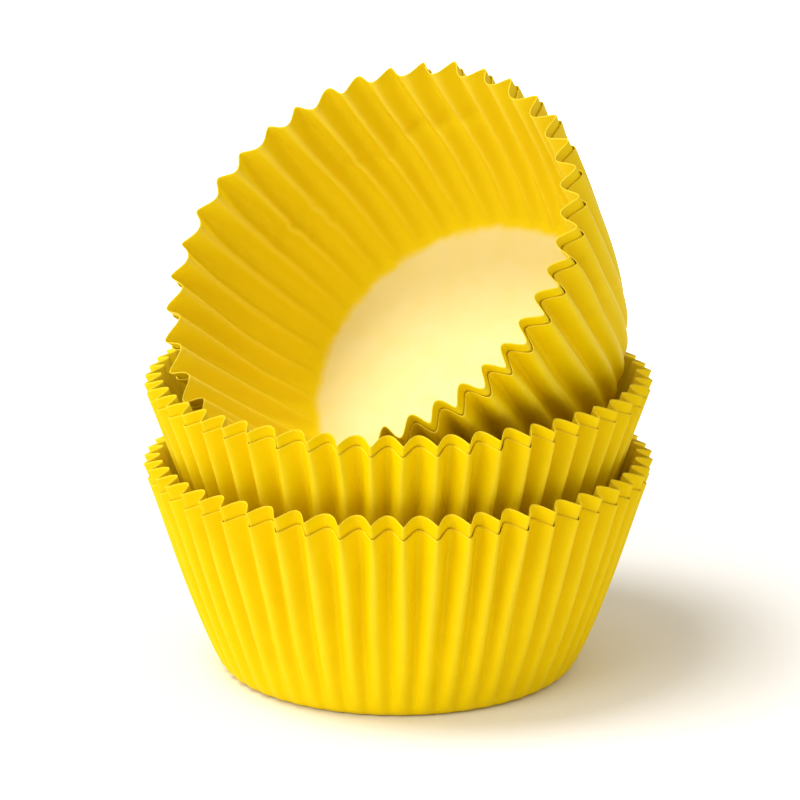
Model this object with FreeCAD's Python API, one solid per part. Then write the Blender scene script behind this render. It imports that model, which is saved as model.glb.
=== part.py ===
import FreeCAD, Part
import math
import os

# Six fluted paper baking liners in three nested pairs. The bottom pair stands on its
# flat bases, the middle pair sits in its mouth, leaning on the back wall, and the
# third pair lies tipped over in the mouth of the middle pair.
# Origin: centre of the lowest base, on the table. The viewer is on the -Y side.

os.makedirs("parts", exist_ok=True)
doc = FreeCAD.newDocument("liner_stack")
sheet = doc.addObject("Spreadsheet::Sheet", "sizes")

values = [
    # the wide liners of the two upright pairs
    ("wide_flutes", 52),
    ("wide_base_radius", 24.4),
    ("wide_rim_radius", 35.8),
    ("wide_rim_depth", 2.4),
    ("wide_blank_radius", 55.5),
    # the narrower and deeper liners of the tipped pair
    ("tall_flutes", 40),
    ("tall_base_radius", 24.2),
    ("tall_rim_radius", 31.7),
    ("tall_rim_depth", 2.7),
    ("tall_blank_radius", 57.5),
    # the turn from base to wall, and the share of a flute taken by its flat valley
    ("corner_height", 2.2),
    ("corner_spread", 1.6),
    ("corner_depth", 0.6),
    ("valley_share", 0.32),
    ("paper", 0.15),
    # how far each inner liner stands up out of its mate
    ("bottom_rise", 2.1),
    ("middle_rise", 1.55),
    ("tipped_rise", 2.0),
    # the middle pair in the bottom pair
    ("middle_lift", 11.75),
    ("middle_lean", 1.95),
    # the tipped pair in the middle pair
    ("tipped_side", 10.65),
    ("tipped_back", 13.75),
    ("tipped_tilt", 49.3),
    ("tipped_heading", -34.9),
    # turn of the first crest away from the front
    ("wide_turn", 1.1),
    ("tall_turn", 2.7),
    ("seat_gap", 0.2),
]
for row, (alias, value) in enumerate(values, start=1):
    sheet.set(f"A{row}", alias)
    sheet.set(f"B{row}", str(value))
    sheet.setAlias(f"B{row}", alias)
doc.recompute()
size = {alias: float(getattr(sheet, alias)) for alias, _ in values}


def wall_height(kind, radius):
    """Height at which the edge of the flat paper disc ends, at this radius."""
    base = size[kind + "_base_radius"]
    wall = size[kind + "_blank_radius"] - base
    return math.sqrt(max(wall ** 2 - (radius - base) ** 2, 1.0))


def ring(kind, level, inset):
    """Corner points of one level of the fluted wall: crest, valley, valley for each flute."""
    base = size[kind + "_base_radius"]
    rim = size[kind + "_rim_radius"]
    count = round(size[kind + "_flutes"])
    half = size["valley_share"] / 2
    points = []
    for flute in range(count):
        if level == "base":
            steps = [(0.5, base)]
        elif level == "corner":
            crest = base + size["corner_spread"]
            steps = [(0, crest), (0.5 - half, crest - size["corner_depth"])]
            steps.append((0.5 + half, crest - size["corner_depth"]))
        else:
            valley = rim - size[kind + "_rim_depth"]
            steps = [(0, rim), (0.5 - half, valley), (0.5 + half, valley)]
        for share, radius in steps:
            height = 0.0
            if level == "base":
                height = inset
            if level == "corner":
                height = size["corner_height"] + inset / 2
            if level == "rim":
                height = wall_height(kind, radius)
            angle = 2 * math.pi * (flute + share) / count
            reach = radius - inset
            point = FreeCAD.Vector(reach * math.sin(angle), -reach * math.cos(angle), height)
            points.append(point)
    return points


def skin(kind, inset):
    """Triangles of one side of the wall, from the base edge up to the rim."""
    base = ring(kind, "base", inset)
    corner = ring(kind, "corner", inset)
    rim = ring(kind, "rim", inset)
    count = len(base)
    triangles = []
    for flute in range(count):
        after = (flute + 1) % count
        foot, next_foot = base[flute], base[after]
        first, second, crest = corner[3 * flute + 1], corner[3 * flute + 2], corner[3 * after]
        next_first = corner[3 * after + 1]
        triangles.append((foot, second, first))
        triangles.append((foot, crest, second))
        triangles.append((foot, next_foot, crest))
        triangles.append((next_foot, next_first, crest))
        for step in range(3):
            here = 3 * flute + step
            there = (here + 1) % (3 * count)
            if step == 2:
                triangles.append((corner[here], corner[there], rim[here]))
                triangles.append((corner[there], rim[there], rim[here]))
            else:
                triangles.append((corner[here], corner[there], rim[there]))
                triangles.append((corner[here], rim[there], rim[here]))
    return base, rim, triangles


def liner(kind):
    """One liner: a flat disc of paper pressed into a cup with a fluted wall."""
    outer_base, outer_rim, outside = skin(kind, 0.0)
    inner_base, inner_rim, inside = skin(kind, size["paper"])
    triangles = outside + [(a, c, b) for a, b, c in inside]
    for here in range(len(outer_rim)):
        there = (here + 1) % len(outer_rim)
        triangles.append((outer_rim[here], outer_rim[there], inner_rim[there]))
        triangles.append((outer_rim[here], inner_rim[there], inner_rim[here]))
    faces = [Part.Face(Part.makePolygon([a, b, c, a])) for a, b, c in triangles]
    for edge in (outer_base, inner_base):
        faces.append(Part.Face(Part.makePolygon(edge + [edge[0]])))
    shell = Part.Shell(faces)
    shell.sewShape()
    solid = Part.Solid(Part.Shell(shell.Faces))
    if solid.Volume < 0:
        solid.reverse()
    return solid


def line_radius(kind, crest, height):
    """Outer radius of a crest line or a valley line at this height."""
    base = size[kind + "_base_radius"]
    corner = base + size["corner_spread"]
    rim = size[kind + "_rim_radius"]
    if not crest:
        corner -= size["corner_depth"]
        rim -= size[kind + "_rim_depth"]
    if height < size["corner_height"]:
        return base + (corner - base) * height / size["corner_height"]
    run = wall_height(kind, rim) - size["corner_height"]
    return corner + (rim - corner) * (height - size["corner_height"]) / run


def wave(kind, height, angle):
    """Outer radius of the fluted wall at this height and angle, flanks included."""
    place_in_flute = angle * size[kind + "_flutes"] / (2 * math.pi) % 1
    away = min(place_in_flute, 1 - place_in_flute) / (0.5 - size["valley_share"] / 2)
    crest = line_radius(kind, True, height)
    return crest - (crest - line_radius(kind, False, height)) * min(1.0, away)


def along(kind, crest):
    """Points up every crest line on the outside, or up every valley line on the inside."""
    rim = size[kind + "_rim_radius"] - (0 if crest else size[kind + "_rim_depth"])
    run = wall_height(kind, rim) - size["corner_height"]
    inset = 0 if crest else size["paper"]
    half = size["valley_share"] / 2
    shares = [0] if crest else [0.5 - half, 0.5 + half]
    count = round(size[kind + "_flutes"])
    for flute in range(count):
        for share in shares:
            angle = 2 * math.pi * (flute + share) / count
            for up in range(16):
                height = size["corner_height"] + run * up / 15
                reach = line_radius(kind, crest, height) - inset
                yield FreeCAD.Vector(reach * math.sin(angle), -reach * math.cos(angle), height)


def polar(point):
    return math.hypot(point.x, point.y), math.atan2(point.x, -point.y)


def room(kind, place, rise, host):
    """Least room between a nested pair and the inside of the wide liner round it."""
    least = 99.0
    mouth = wall_height("wide", size["wide_rim_radius"] - size["wide_rim_depth"])
    top = wall_height(kind, size[kind + "_rim_radius"])
    for guest in (place, raised(place, rise)):
        inward = host.inverse() * guest
        for point in along(kind, True):
            point = inward * point
            reach, angle = polar(point)
            if point.z < mouth:
                least = min(least, wave("wide", point.z, angle) - size["paper"] - reach)
        outward = inward.inverse()
        for point in along("wide", False):
            point = outward * point
            reach, angle = polar(point)
            if 0 < point.z < top:
                least = min(least, reach - wave(kind, point.z, angle))
    return least - size["seat_gap"]


def settle(kind, rise, host, free, step, placed):
    """Moves a nested pair from a free place by ever smaller steps until it touches its host."""
    while abs(step) > 0.01:
        if room(kind, placed(free + step), rise, host) > 0:
            free += step
        else:
            step /= 2
    return placed(free)


def turned(axis, degrees):
    return FreeCAD.Rotation(FreeCAD.Vector(*axis), degrees)


def raised(place, rise):
    return place * FreeCAD.Placement(FreeCAD.Vector(0, 0, rise), FreeCAD.Rotation())


spin = turned((0, 0, 1), size["wide_turn"])
lean = turned((1, 0, 0), size["middle_lean"]) * spin
pose = turned((0, 0, 1), size["tipped_heading"]) * turned((1, 0, 0), size["tipped_tilt"])
pose = pose * turned((0, 0, 1), size["tall_turn"])
bottom = FreeCAD.Placement(FreeCAD.Vector(0, 0, 0), spin)


def middle_at(back):
    return FreeCAD.Placement(FreeCAD.Vector(0, back, size["middle_lift"]), lean)


def tipped_at(lift):
    return FreeCAD.Placement(FreeCAD.Vector(size["tipped_side"], size["tipped_back"], lift), pose)


# the middle pair is pushed back until it meets the back wall of the bottom pair
host = raised(bottom, size["bottom_rise"])
middle = settle("wide", size["middle_rise"], host, 0, 1.0, middle_at)

# the tipped pair is lowered until it meets the mouth of the middle pair
host = raised(middle, size["middle_rise"])
above = size["middle_lift"] + size["wide_blank_radius"]
tipped = settle("tall", size["tipped_rise"], host, above, -2.0, tipped_at)

shapes = {"wide": liner("wide"), "tall": liner("tall")}
nodes = [
    ("bottom_outer_liner", "wide", bottom, 0),
    ("bottom_inner_liner", "wide", bottom, size["bottom_rise"]),
    ("middle_outer_liner", "wide", middle, 0),
    ("middle_inner_liner", "wide", middle, size["middle_rise"]),
    ("tipped_outer_liner", "tall", tipped, 0),
    ("tipped_inner_liner", "tall", tipped, size["tipped_rise"]),
]
made = []
for name, kind, place, rise in nodes:
    liner_object = doc.addObject("Part::Feature", name)
    liner_object.Label = name
    liner_object.Shape = shapes[kind].copy()
    liner_object.Placement = raised(place, rise)
    made.append(liner_object)

doc.recompute()
for item in doc.Objects:
    if "Invalid" in item.State or "Error" in item.State:
        raise RuntimeError(f"{item.Label} did not compute")
for item in made:
    if item.Shape.isNull() or not item.Shape.isValid():
        raise RuntimeError(f"{item.Label} has no valid shape")
    item.Shape.exportStep(f"parts/{item.Label}.step")
    print(item.Label, "volume", round(item.Shape.Volume, 1), item.Placement.Base)
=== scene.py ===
import bpy
import math
import numpy as np
from mathutils import Matrix, Vector


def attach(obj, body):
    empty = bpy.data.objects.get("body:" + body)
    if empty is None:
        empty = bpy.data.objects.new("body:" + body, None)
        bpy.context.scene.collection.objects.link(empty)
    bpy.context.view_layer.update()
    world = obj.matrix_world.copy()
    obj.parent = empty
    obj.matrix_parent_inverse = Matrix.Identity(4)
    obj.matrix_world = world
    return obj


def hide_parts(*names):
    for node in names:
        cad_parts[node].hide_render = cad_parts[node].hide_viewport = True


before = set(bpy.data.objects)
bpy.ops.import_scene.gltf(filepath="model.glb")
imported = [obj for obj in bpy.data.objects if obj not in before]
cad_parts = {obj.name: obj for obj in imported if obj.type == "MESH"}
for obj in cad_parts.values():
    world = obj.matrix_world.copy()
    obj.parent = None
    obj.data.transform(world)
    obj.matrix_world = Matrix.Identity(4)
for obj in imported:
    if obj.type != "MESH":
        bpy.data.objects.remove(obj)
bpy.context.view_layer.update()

# Six fluted paper baking liners in three nested pairs. Each is built in millimetres about its
# own axis, as a flat disc of paper pressed into a cup, and then put in its place in metres.
MM = 0.001
FULL_TURN = 2 * math.pi

# The kinds of liner, in mm.
#   flutes, base, rim, blank: number of flutes, radius of the base, the rim and the flat disc
#   depth, deepens: depth of a flute at the rim, and how evenly it deepens on the way there
#   bulge, flare: how far the wall swells below half height and turns out at the rim
#   crisp, peak, blunt: height share where soft flutes start to turn into folds, and the
#     sharpness and roundness of those folds
#   waver: how far a fold line wanders to the side, in radians
#   closed, nested: how far the rim of an outer mate is drawn in, or out where negative, and
#     by which share of the height it sits below its inner mate
#   cut: how strongly the painted highlight shows on the cut edge
#   rows: rings of points up the wall
WIDE = dict(flutes=52, base=24.4, rim=35.8, blank=55.5, depth=2.5, deepens=0.72, bulge=0.3)
WIDE.update(flare=0.35, crisp=0.55, peak=0.52, blunt=0.012, waver=0.006)
WIDE.update(closed=0.32, nested=0.058, cut=0.3, rows=26)
# the bottom pair is the same kind of liner, spread by the pair in its mouth
SPREAD = dict(WIDE, base=25.0, rim=35.9, bulge=0.5, flare=0.6, nested=0.08, closed=0.52)
# the tipped pair is narrower and deeper
TALL = dict(flutes=40, base=24.2, rim=31.7, blank=57.5, depth=2.7, deepens=0.85, bulge=0.75)
TALL.update(flare=0.0, crisp=0.6, peak=0.52, blunt=0.17, waver=0.012)
TALL.update(closed=-0.12, nested=0.066, cut=0.5, rows=36)

PAPER = 0.09
# points across one flute, rings of points on the base and round the turn into the wall
STEPS = 20
BASE_ROWS = 5
CORNER_ROWS = 6
# the turn from base to wall: where it starts inside the base radius, the point that bends
# it, where it ends, its height and the depth of the flutes at its top
CORNER_START = 1.0
CORNER_BEND = 0.75
CORNER_SPREAD = 1.6
CORNER_HEIGHT = 2.2
CORNER_DEPTH = 0.6

# how evenly the bulge and the flare rise with the height, and how late an outer rim closes
BULGE_RISE = 0.7
FLARE_RISE = 6
CLOSED_RISE = 4
# the last ring under the cut edge, as a share of the height
EDGE_RING = 0.99

# spread and limit of the random values that differ from flute to flute; see unevenness
VARIES = dict(aside=(0.035, 0.08), deep=(0.05, 0.12), tall=(0.06, 0.15), own_tall=(0.04, 0.1))
VARIES.update(leaning=(0.5, 1), bends=(1, 1.4))
SHARP_RANGE = 0.07
OUTER_SHARPER = 0.05
# how far a liner is out of round, and which share of the unevenness is there at its foot
OUT_OF_ROUND = 0.25
FOOT_SWAY = 0.1

# how much wider the crests of the soft wave are than its valleys, how far a fold leans to
# one side, and how far the folds of an outer wide liner sit beside those of its mate
CREST_WIDENING = 0.14
FOLD_LEAN = 0.05
FOLD_SKEW = 1.06

# small creases in the wall of the tipped pair: degrees round from its front, share of height
CREASES = [(241, 0.49), (241, 0.36), (250, 0.5), (222, 0.56)]
CREASES += [(214, 0.51), (203, 0.6), (195, 0.61), (185, 0.65)]
CREASE_DEPTH = 0.6
CREASE_SWAY = 0.02
CREASE_WIDTH = math.radians(4.6)
CREASE_HEIGHT = 0.032

# the tipped pair's rim is spread where it leans on the mouth round it
PRESS_ANGLE = math.radians(318)
PRESS_WIDTH = 0.36
PRESS_REACH = 1.25
# its back is pushed out a little
BACK_PUSH = 0.5
# its flutes are unevenly spread: one wave and two waves round the rim, each with its reach
# and phase, and a slight twist at the base, all in radians
RIM_WAVES = [(0.110, 0.514), (0.027, 0.165)]
BASE_TWIST = 0.052

# how sharply the painted highlight keeps to a fold, the row that it starts from, and how much of
# it shows on the outside
FOLD_LINE = 14
HIGHLIGHT_START = BASE_ROWS + 2
OUTSIDE_SHARE = 0.35

# where the pairs stand, as in the solids, in mm and degrees
MIDDLE_BACK = 2.078
MIDDLE_LIFT = 11.75
MIDDLE_LEAN = 1.95
TIPPED_SIDE = 10.65
TIPPED_BACK = 13.75
TIPPED_LIFT = 38.8125
TIPPED_TILT = 49.3
TIPPED_HEADING = -34.9
# turn of the first crest away from the front
WIDE_TURN = 1.1
TALL_TURN = 2.7
# how far each inner liner stands up out of its mate
BOTTOM_RISE = 2.1
MIDDLE_RISE = 1.55
TIPPED_RISE = 2.0


def place(spot, heading, tilt, turn, rise):
    """Frame of a liner: its base centre, lean and first crest, pushed up its own axis by rise."""
    lean = Matrix.Rotation(math.radians(heading), 4, "Z")
    lean = lean @ Matrix.Rotation(math.radians(tilt), 4, "X")
    lean = lean @ Matrix.Rotation(math.radians(turn), 4, "Z")
    return Matrix.Translation(spot) @ lean @ Matrix.Translation((0, 0, rise))


def bottom(rise):
    return place((0, 0, 0), 0, 0, WIDE_TURN, rise)


def middle(rise):
    return place((0, MIDDLE_BACK, MIDDLE_LIFT), 0, MIDDLE_LEAN, WIDE_TURN, rise)


def tipped(rise):
    spot = (TIPPED_SIDE, TIPPED_BACK, TIPPED_LIFT)
    return place(spot, TIPPED_HEADING, TIPPED_TILT, TALL_TURN, rise)


# each liner's kind, the seed of its unevenness and its place; nested mates share a seed
LINERS = {
    "bottom_outer_liner": (SPREAD, 11, bottom(0)),
    "bottom_inner_liner": (SPREAD, 11, bottom(BOTTOM_RISE)),
    "middle_outer_liner": (WIDE, 12, middle(0)),
    "middle_inner_liner": (WIDE, 12, middle(MIDDLE_RISE)),
    "tipped_outer_liner": (TALL, 13, tipped(0)),
    "tipped_inner_liner": (TALL, 13, tipped(TIPPED_RISE)),
}


def linear(r, g, b):
    """A colour as seen on a screen, 0 to 255, as the light it stands for."""
    values = []
    for c in (r, g, b):
        c = c / 255.0
        values.append(c / 12.92 if c <= 0.04045 else ((c + 0.055) / 1.055) ** 2.4)
    return (*values, 1.0)


def wobble(rng, count, modes):
    """A smooth random curve round the liner, one value for each flute."""
    angle = np.arange(count) * 2 * math.pi / count
    total = np.zeros(count)
    for mode in modes:
        total += rng.normal() * np.cos(mode * angle + rng.uniform(0, 6.28)) / len(modes)
    return total


def angle_from(angle, middle_angle):
    """Angle from the middle angle to here, the short way round."""
    return (angle - middle_angle + math.pi) % FULL_TURN - math.pi


def spacing(angle, level):
    """Uneven spread of the tipped pair's flutes, from a slight twist at the base to the rim."""
    at_rim = np.zeros(angle.shape)
    for waves, (reach, phase) in enumerate(RIM_WAVES, start=1):
        at_rim += reach * np.cos(waves * angle + phase)
    return at_rim * level - BASE_TWIST * (1 - level)


def pressed(angle, level):
    """How far the tipped pair's rim is spread outwards where it leans on the wall round it."""
    away = angle_from(angle, PRESS_ANGLE)
    return PRESS_REACH * np.exp(-(away / PRESS_WIDTH) ** 2) * level ** 2


def creases(angle, level):
    """Strength of the small creases at this angle and share of the height."""
    total = np.zeros(angle.shape)
    for degrees, up in CREASES:
        away = angle_from(angle, math.radians(degrees))
        total += np.exp(-(away / CREASE_WIDTH) ** 2 - ((level - up) / CREASE_HEIGHT) ** 2)
    return total


def uneven(rng, count, what):
    """Random values round zero, none of them past the limit."""
    spread, limit = VARIES[what]
    return rng.normal(0, spread, count).clip(-limit, limit)


def unevenness(kind, seed, inner_mate, share):
    """What differs from flute to flute, blended from each crest to the next.

    aside is how far a crest stands out of its even place, as a share of a flute, deep the
    depth of the flute, tall the height of its rim in mm, sharp the sharpness of its fold,
    leaning how far its fold leans to one side, oval the change of radius in mm, and bends
    the three waves in which its fold lines wander.
    """
    count = kind["flutes"]
    flute = np.repeat(np.arange(count), STEPS)
    after = (flute + np.sign(share).astype(int)) % count
    mix = np.abs(share)

    def blended(values):
        return values[flute] * (1 - mix) + values[after] * mix

    rng = np.random.default_rng(seed)
    own = np.random.default_rng(seed * 7 + (1 if inner_mate else 2))
    differs = {}
    differs["aside"] = blended(uneven(rng, count, "aside"))
    differs["deep"] = blended(1 + uneven(rng, count, "deep"))
    tall = uneven(rng, count, "tall") + uneven(own, count, "own_tall")
    differs["tall"] = blended(tall)
    sharp = kind["peak"] + rng.uniform(-SHARP_RANGE, SHARP_RANGE, count)
    differs["sharp"] = blended(sharp + (0 if inner_mate else OUTER_SHARPER))
    differs["leaning"] = blended(uneven(rng, count, "leaning"))
    differs["oval"] = blended(OUT_OF_ROUND * wobble(rng, count, (2, 3, 5)))
    bends = uneven(np.random.default_rng(seed * 3), (3, count), "bends")
    differs["bends"] = [blended(values) for values in bends]
    return differs


def flute_shapes(kind, inner_mate, share, differs):
    """The soft wave low in the wall and the sharp fold at the rim, from crest 0 to valley 1."""
    second = 1 - np.cos(4 * math.pi * share)
    soft = (1 - np.cos(2 * math.pi * share) - CREST_WIDENING * second) / 2
    fold_share = share + FOLD_LEAN * np.sin(2 * math.pi * share) * differs["leaning"]
    if not inner_mate and kind is not TALL:
        fold_share = (fold_share % 1.0) ** FOLD_SKEW
    folded = np.abs(np.sin(math.pi * fold_share))
    fold = (kind["blunt"] + folded ** 2) ** differs["sharp"]
    fold = (fold - fold.min()) / (fold.max() - fold.min())
    return soft, fold


def wall_profile(kind, t):
    """Radius of the crests and depth of the flutes at this share of the wall's height."""
    foot = kind["base"] + CORNER_SPREAD
    crest = foot + (kind["rim"] - foot) * t
    swell = kind["bulge"] * math.sin(math.pi * t ** BULGE_RISE)
    crest += swell + kind["flare"] * t ** FLARE_RISE
    depth = CORNER_DEPTH + (kind["depth"] - CORNER_DEPTH) * t ** kind["deepens"]
    return crest, depth


def liner_points(kind, seed, inner_mate):
    """Grid of points of the outer side, rings from the base centre to the rim.

    With it comes the place in the fold of each point: 0 on a crest, 1 in a valley and -1 on
    the cut edge.
    """
    count = kind["flutes"]
    share = np.tile((np.arange(STEPS) - STEPS / 2) / STEPS, count)
    differs = unevenness(kind, seed, inner_mate, share)
    soft, fold = flute_shapes(kind, inner_mate, share, differs)
    round_angle = 2 * math.pi * (np.repeat(np.arange(count), STEPS) + share) / count
    oval = differs["oval"]
    if kind is TALL:
        oval = oval + BACK_PUSH * (0.5 - 0.5 * np.cos(round_angle)) ** 2
    rings = []
    folds = []

    def ring(crest, depth, height, sway, wave, t=0.0):
        """Adds one ring; an outer mate is shaped as its inner mate is at the same height."""
        level = t if inner_mate else max(0.0, t - kind["nested"])
        angle = round_angle + 2 * math.pi * differs["aside"] * sway / count
        for waves, bend in enumerate(differs["bends"], start=1):
            angle = angle + kind["waver"] * bend * math.sin(waves * math.pi * level) / waves
        radius = crest + oval * sway - depth * differs["deep"] * wave
        if kind is TALL:
            dent = creases(round_angle, level)
            radius = radius + CREASE_DEPTH * dent + pressed(round_angle, level)
            angle = angle + CREASE_SWAY * dent + spacing(round_angle, level)
        if not inner_mate:
            radius = radius - kind["closed"] * t ** CLOSED_RISE
        z = height if np.ndim(height) else np.full(radius.shape, float(height))
        rings.append(np.stack([radius * np.sin(angle), -radius * np.cos(angle), z], 1))
        folds.append(wave if t < 1.0 else np.full(radius.shape, -1.0))

    # the flat base
    start = kind["base"] - CORNER_START
    for radius in np.linspace(0.0, start, BASE_ROWS + 1)[1:]:
        ring(radius, 0.0, 0.0, 0.0, soft)

    # the turn from base to wall
    bend_at = kind["base"] + CORNER_BEND
    foot = kind["base"] + CORNER_SPREAD
    for t in np.linspace(0, 1, CORNER_ROWS + 1)[1:]:
        radius = start * (1 - t) ** 2 + bend_at * 2 * t * (1 - t) + foot * t * t
        ring(radius, CORNER_DEPTH * t ** 1.5, CORNER_HEIGHT * t * t, FOOT_SWAY * t, soft)

    # the wall; the paper can't stretch, so a deep valley reaches higher than a crest
    wall = kind["blank"] - kind["base"]
    for t in [*np.linspace(0, 1, kind["rows"] + 1)[1:-1], EDGE_RING, 1.0]:
        crest, depth = wall_profile(kind, t)
        level = t if inner_mate else t - kind["nested"]
        crisp = max(0.0, (level - kind["crisp"]) / (1 - kind["crisp"])) ** 2
        wave = soft + (fold - soft) * crisp
        edge = kind["rim"] - kind["depth"] * differs["deep"] * wave
        top = np.sqrt(np.maximum(wall ** 2 - (edge - kind["base"]) ** 2, 1.0))
        top = top + differs["tall"]
        height = CORNER_HEIGHT + (top - CORNER_HEIGHT) * t
        ring(crest, depth, height, FOOT_SWAY + (1 - FOOT_SWAY) * t, wave, t)
    return np.stack(rings), np.stack(folds)


def fold_highlight(wave, cut):
    """Strength of the painted highlight at each point, outside and inside: on folds and cut edge.
    """
    rows = wave.shape[0]
    climb = np.clip(np.arange(rows) - HIGHLIGHT_START, 0, None)[:, None] / rows
    valley = np.clip(wave, 0, 1)
    outside = np.where(wave < 0, cut, OUTSIDE_SHARE * (1 - valley) ** FOLD_LINE * climb)
    inside = np.where(wave < 0, cut, valley ** FOLD_LINE * climb)
    return np.concatenate([outside.ravel(), inside.ravel(), [0.0, 0.0]])


def store(mesh, name, values):
    """Keeps one value for each point of the mesh, for its material."""
    attribute = mesh.attributes.new(name, "FLOAT", "POINT")
    attribute.data.foreach_set("value", values)


def liner(name):
    """One sheet of paper as a closed mesh: outer side, inner side and the cut edge between."""
    kind, seed, matrix = LINERS[name]
    outer, wave = liner_points(kind, seed, name.endswith("inner_liner"))
    rows, across = outer.shape[:2]
    along = np.roll(outer, -1, axis=1) - np.roll(outer, 1, axis=1)
    up = np.gradient(outer, axis=0)
    normal = np.cross(along, up)
    normal /= np.linalg.norm(normal, axis=2, keepdims=True) + 1e-12
    inner = outer - normal * PAPER
    centres = [[0, 0, 0], [0, 0, PAPER]]
    points = np.concatenate([outer.reshape(-1, 3), inner.reshape(-1, 3), centres])

    # the outer points come first, then the inner ones, then the two centres of the base
    total = rows * across
    here = np.arange(across)
    there = (here + 1) % across
    faces = []
    for row in range(rows - 1):
        a = row * across + here
        b = row * across + there
        c = b + across
        d = a + across
        faces.append(np.stack([a, b, c, d], 1))
        faces.append(np.stack([a + total, d + total, c + total, b + total], 1))
    a = (rows - 1) * across + here
    b = (rows - 1) * across + there
    faces.append(np.stack([a, b, b + total, a + total], 1))
    quads = np.concatenate(faces).tolist()
    centre = 2 * total
    fans = [[centre, int(b), int(a)] for a, b in zip(here, there)]
    fans += [[centre + 1, int(a) + total, int(b) + total] for a, b in zip(here, there)]

    mesh = bpy.data.meshes.new(name + "_paper")
    mesh.from_pydata([tuple(point) for point in points], [], quads + fans)
    mesh.transform(Matrix.Scale(MM, 4) @ matrix)
    mesh.polygons.foreach_set("use_smooth", [True] * len(mesh.polygons))
    store(mesh, "reach", np.hypot(points[:, 0], points[:, 1]) / kind["base"])
    inward = np.zeros(len(points))
    inward[total:2 * total] = 1.0
    inward[-1] = 1.0
    store(mesh, "inside", inward)
    store(mesh, "fold", fold_highlight(wave, kind["cut"]))
    mesh.update()
    piece = bpy.data.objects.new(name + "_paper", mesh)
    bpy.context.scene.collection.objects.link(piece)
    return piece


def material(name):
    """An empty material with its node tree and its output node."""
    mat = bpy.data.materials.new(name)
    mat.use_nodes = True
    mat.node_tree.nodes.clear()
    return mat, mat.node_tree, mat.node_tree.nodes.new("ShaderNodeOutputMaterial")


def coordinates(tree):
    return tree.nodes.new("ShaderNodeTexCoord").outputs["Object"]


def noise(tree, where, scale, detail):
    texture = tree.nodes.new("ShaderNodeTexNoise")
    texture.inputs["Scale"].default_value = scale
    texture.inputs["Detail"].default_value = detail
    tree.links.new(where, texture.inputs["Vector"])
    return texture


def stored(tree, name):
    """The value kept on the points of the mesh under this name."""
    attribute = tree.nodes.new("ShaderNodeAttribute")
    attribute.attribute_name = name
    return attribute.outputs["Fac"]


def calculated(tree, operation, *values):
    """Result of a sum; each value is a socket or a plain number."""
    result = tree.nodes.new("ShaderNodeMath")
    result.operation = operation
    for socket, value in zip(result.inputs, values):
        if isinstance(value, float):
            socket.default_value = value
        else:
            tree.links.new(value, socket)
    return result.outputs["Value"]


def two_tones(tree, factor, low, first, high, second):
    """The first colour up to low, the second from high on."""
    ramp = tree.nodes.new("ShaderNodeValToRGB")
    ramp.color_ramp.elements[0].position = low
    ramp.color_ramp.elements[0].color = first
    ramp.color_ramp.elements[1].position = high
    ramp.color_ramp.elements[1].color = second
    tree.links.new(factor, ramp.inputs["Fac"])
    return ramp.outputs["Color"]


def covered(tree, factor, under, over):
    """The colour under, covered by the colour over as far as the factor says."""
    mix = tree.nodes.new("ShaderNodeMix")
    mix.data_type = "RGBA"
    tree.links.new(factor, mix.inputs["Factor"])
    tree.links.new(under, mix.inputs["A"])
    if isinstance(over, tuple):
        mix.inputs["B"].default_value = over
    else:
        tree.links.new(over, mix.inputs["B"])
    return mix.outputs["Result"]


def paper_material():
    """Yellow greaseproof paper, with a cream disc of painted sheen inside on the base and painted
    highlights on its folds and cut edge.
    """
    mat, tree, out = material("yellow_paper")
    shader = tree.nodes.new("ShaderNodeBsdfPrincipled")
    tree.links.new(shader.outputs["BSDF"], out.inputs["Surface"])
    where = coordinates(tree)
    mottle = noise(tree, where, 260.0, 5.0)
    mottle.inputs["Roughness"].default_value = 0.6
    mottled = mottle.outputs["Fac"]
    yellow = two_tones(tree, mottled, 0.3, linear(238, 205, 0), 0.7, linear(243, 211, 0))
    inside = stored(tree, "inside")
    # the inner side of the paper is a paler yellow, partly its own colour and partly painted
    # sheen
    yellow = covered(tree, inside, yellow, linear(241, 216, 22))

    # the painted sheen on the base disc ends at the edge of the base, a little raggedly
    ragged = noise(tree, where, 420.0, 4.0).outputs["Fac"]
    reach = calculated(tree, "MULTIPLY_ADD", ragged, 0.05, stored(tree, "reach"))
    disc = tree.nodes.new("ShaderNodeMapRange")
    disc.interpolation_type = "SMOOTHSTEP"
    disc.inputs["From Min"].default_value = 1.045
    disc.inputs["From Max"].default_value = 0.985
    tree.links.new(reach, disc.inputs["Value"])
    painted_sheen_disc = calculated(tree, "MULTIPLY", disc.outputs["Result"], inside)
    # the cream is painted sheen: the light's reflection in the flat base, painted into the colour
    sheen_cream = two_tones(tree, mottled, 0.35, linear(241, 228, 162), 0.65, linear(243, 231, 176))
    colour = covered(tree, painted_sheen_disc, yellow, sheen_cream)

    # painted highlight: folds and the cut edge are made paler, as if they caught the light
    painted_fold_highlight = calculated(tree, "MULTIPLY", stored(tree, "fold"), 0.36)
    colour = covered(tree, painted_fold_highlight, colour, linear(250, 228, 130))
    tree.links.new(colour, shader.inputs["Base Color"])

    grain = noise(tree, where, 1500.0, 3.0)
    bump = tree.nodes.new("ShaderNodeBump")
    bump.inputs["Strength"].default_value = 0.25
    bump.inputs["Distance"].default_value = 0.00006
    tree.links.new(grain.outputs["Fac"], bump.inputs["Height"])
    tree.links.new(bump.outputs["Normal"], shader.inputs["Normal"])
    shader.inputs["Roughness"].default_value = 0.5
    shader.inputs["Specular IOR Level"].default_value = 0.05
    return mat


paper = paper_material()
for node in LINERS:
    piece = liner(node)
    piece.data.materials.append(paper)
    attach(piece, "root")
    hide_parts(node)


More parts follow.
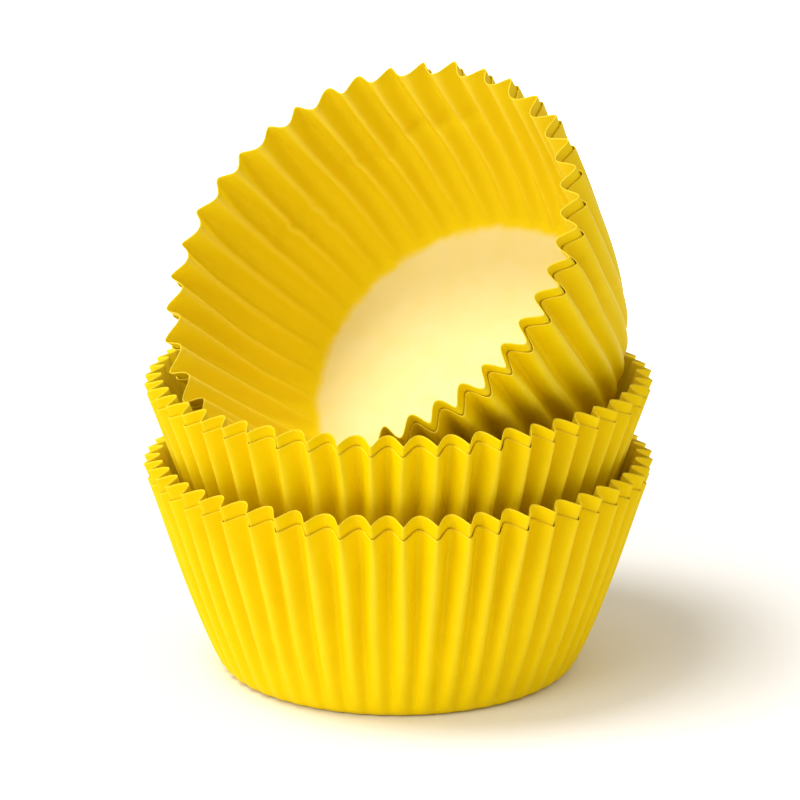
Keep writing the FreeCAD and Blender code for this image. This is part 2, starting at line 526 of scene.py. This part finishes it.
def background_rays(tree):
    """One for the rays that show the background: straight, mirrored or through glass."""
    path = tree.nodes.new("ShaderNodeLightPath").outputs
    either = calculated(tree, "MAXIMUM", path["Is Camera Ray"], path["Is Glossy Ray"])
    return calculated(tree, "MAXIMUM", either, path["Is Transmission Ray"])


def floor_material():
    """Pale matt floor that turns white away from the object and keeps its shadow."""
    mat, tree, out = material("floor")
    matt = tree.nodes.new("ShaderNodeBsdfDiffuse")
    matt.inputs["Color"].default_value = (0.95, 0.95, 0.95, 1.0)
    away = tree.nodes.new("ShaderNodeVectorMath")
    away.operation = "LENGTH"
    tree.links.new(coordinates(tree), away.inputs[0])
    # painted light: from 5.5 cm out the floor glows up to white, seen only from the camera and in
    # reflections, and so lightens the outer end of the shadow
    far = tree.nodes.new("ShaderNodeMapRange")
    far.inputs["From Min"].default_value = 0.055
    far.inputs["From Max"].default_value = 0.4
    tree.links.new(away.outputs["Value"], far.inputs["Value"])
    strength = calculated(tree, "MULTIPLY", background_rays(tree), far.outputs["Result"])
    glow = tree.nodes.new("ShaderNodeEmission")
    glow.inputs["Color"].default_value = (1.0, 1.0, 1.0, 1.0)
    tree.links.new(strength, glow.inputs["Strength"])
    add = tree.nodes.new("ShaderNodeAddShader")
    tree.links.new(matt.outputs[0], add.inputs[0])
    tree.links.new(glow.outputs[0], add.inputs[1])
    tree.links.new(add.outputs[0], out.inputs["Surface"])
    return mat


bpy.ops.mesh.primitive_circle_add(vertices=96, radius=4.0, fill_type="NGON", location=(0, 0, 0))
floor = bpy.context.object
floor.name = "floor"
floor.data.materials.append(floor_material())


def studio():
    """Soft warm light from all round, seen as white."""
    world = bpy.data.worlds.new("studio")
    bpy.context.scene.world = world
    world.use_nodes = True
    tree = world.node_tree
    tree.nodes.clear()
    soft = tree.nodes.new("ShaderNodeBackground")
    soft.inputs["Color"].default_value = (1.0, 0.955, 0.88, 1)
    soft.inputs["Strength"].default_value = 0.61
    white = tree.nodes.new("ShaderNodeBackground")
    white.inputs["Color"].default_value = (1, 1, 1, 1)
    white.inputs["Strength"].default_value = 1.0
    mix = tree.nodes.new("ShaderNodeMixShader")
    tree.links.new(background_rays(tree), mix.inputs["Fac"])
    tree.links.new(soft.outputs[0], mix.inputs[1])
    tree.links.new(white.outputs[0], mix.inputs[2])
    out = tree.nodes.new("ShaderNodeOutputWorld")
    tree.links.new(mix.outputs[0], out.inputs["Surface"])


# the lamps stand this far from a point in the middle of the stack, in metres
LAMP_DISTANCE = 1.2
LIT_POINT = Vector((0, 0, 0.035))


def round_lamp(name, direction, size, power):
    """A soft round lamp in this direction from the stack, shining on it."""
    lamp = bpy.data.lights.new(name, "AREA")
    lamp.shape = "DISK"
    lamp.size = size
    lamp.energy = power
    holder = bpy.data.objects.new(name, lamp)
    way = Vector(direction).normalized()
    holder.location = LIT_POINT + way * LAMP_DISTANCE
    holder.rotation_euler = way.to_track_quat("Z", "Y").to_euler()
    bpy.context.scene.collection.objects.link(holder)


studio()
round_lamp("key", (-0.36, -0.12, 0.93), size=0.5, power=8.8)
round_lamp("front", (-0.9, -0.9, 0.6), size=0.8, power=5.35)

# the camera stands 38 cm in front of the stack and looks down by 14 degrees
FOCAL_LENGTH_PIXELS = 2750.0
IMAGE_PIXELS = 800.0
SENSOR_WIDTH = 36.0
LOOKS_DOWN = 0.249
LOOKS_ASIDE = -0.001
camera_data = bpy.data.cameras.new("camera")
camera_data.sensor_width = SENSOR_WIDTH
camera_data.lens = SENSOR_WIDTH * FOCAL_LENGTH_PIXELS / IMAGE_PIXELS
camera_data.clip_start = 0.01
camera = bpy.data.objects.new("camera", camera_data)
camera.location = (-0.0001, -0.37993, 0.13511)
camera.rotation_euler = (math.pi / 2 - LOOKS_DOWN, 0, LOOKS_ASIDE)
bpy.context.scene.collection.objects.link(camera)
bpy.context.scene.camera = camera
bpy.context.scene.view_settings.view_transform = "Standard"
